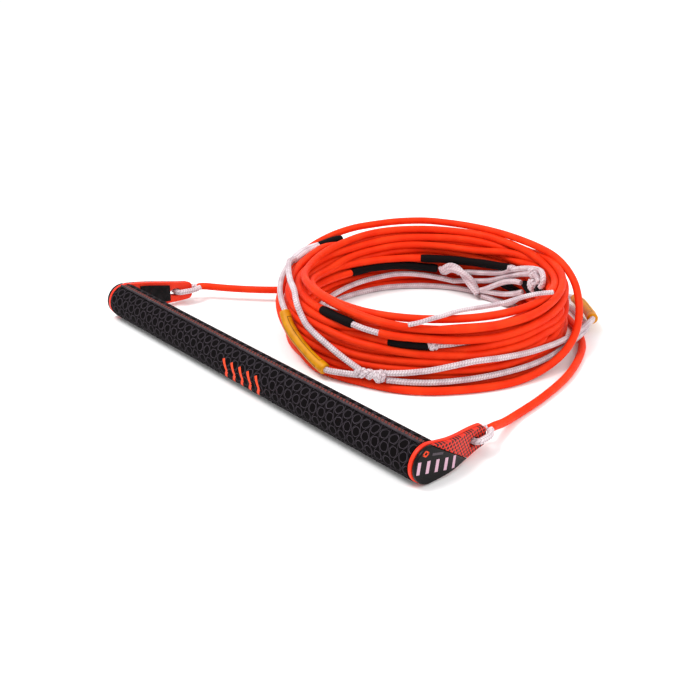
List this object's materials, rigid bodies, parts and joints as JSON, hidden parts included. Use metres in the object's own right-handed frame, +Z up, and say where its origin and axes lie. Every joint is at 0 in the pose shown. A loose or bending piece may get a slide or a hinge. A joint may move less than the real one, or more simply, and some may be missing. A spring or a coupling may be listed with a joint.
{
  "type": "tow rope handle",
  "caption": "Floating tow rope handle with a gripped bar, two end caps, a rope bridle and its main line wound in a round coil.",
  "frame": {"origin": "on the resting surface, under the middle of the bar, on the grip's lowest flat", "axes": "+X along the bar to the right cap, +Y from the bar towards the coil, +Z up"},
  "size_m": [0.3946, 0.3479, 0.0638],
  "materials": {
    "aluminium": "drawn tube, natural",
    "foam": "closed cell foam rod",
    "plug": "moulded nylon",
    "steel": "stainless screw",
    "rubber": "soft black rubber",
    "grip": "black tacky grip with a fine grey line pattern",
    "piping": "smooth black piping",
    "stitching": "red-orange stitched tape",
    "cap": "moulded orange-red plastic",
    "badge": "black plastic with a bevelled rim",
    "mesh": "red-orange plastic with rows of black dots",
    "rope": "smooth neon orange-red coating",
    "braid": "white hollow braid",
    "sleeve": "black woven cover",
    "label": "yellow printed tube"
  },
  "bodies": {
    "rope": {"main_coil": "rope", "outer_turn": "rope", "bridle_eye_left": "braid", "bridle_eye_right": "braid", "bridle_leg_left": "rope", "bridle_leg_right": "rope", "splice_sleeve_rear": "sleeve", "loop_splice": "braid", "boat_loop_strand_outer": "braid", "boat_loop_strand_upper": "braid", "label_sleeve_left": "label", "boat_loop_strand_lower": "braid", "boat_loop_knot": "braid", "boat_loop_strand_high": "braid", "boat_loop_strand_low": "braid", "label_sleeve_right": "label", "boat_loop_bight": "braid", "loop_tail": "braid", "splice_knob": "braid", "inner_knot": "braid", "inner_loop_end": "braid", "front_knot": "braid", "splice_sleeve_inner_left": "sleeve", "splice_sleeve_inner_rear": "sleeve", "splice_sleeve_front": "sleeve", "splice_sleeve_top": "sleeve", "inner_strand_upper": "braid", "inner_strand_lower": "braid", "inner_strand_rear": "braid", "front_strand": "braid", "top_strand": "braid", "inner_hitch": "braid"},
    "handle": {"bar_tube": "aluminium", "float_core": "foam", "grip_core": "rubber", "grip_cover": "grip", "grip_piping": "piping", "grip_seam_strip": "stitching", "cap_plate_left": "cap", "cap_badge_panel_left": "badge", "cap_mesh_panel_left": "mesh", "cap_inner_pad_left": "rubber", "cap_screw_left": "steel", "end_plug_left": "plug", "cap_plate_right": "cap", "cap_badge_panel_right": "badge", "cap_mesh_panel_right": "mesh", "cap_inner_pad_right": "rubber", "cap_screw_right": "steel", "end_plug_right": "plug"}
  },
  "joints": [
    {"name": "handle_swing", "type": "hinge", "parent": "rope", "child": "handle", "pos_m": [0, 0.0495, 0.0125], "axis": [-1, 0, 0], "range_deg": [0, 70]}
  ]
}
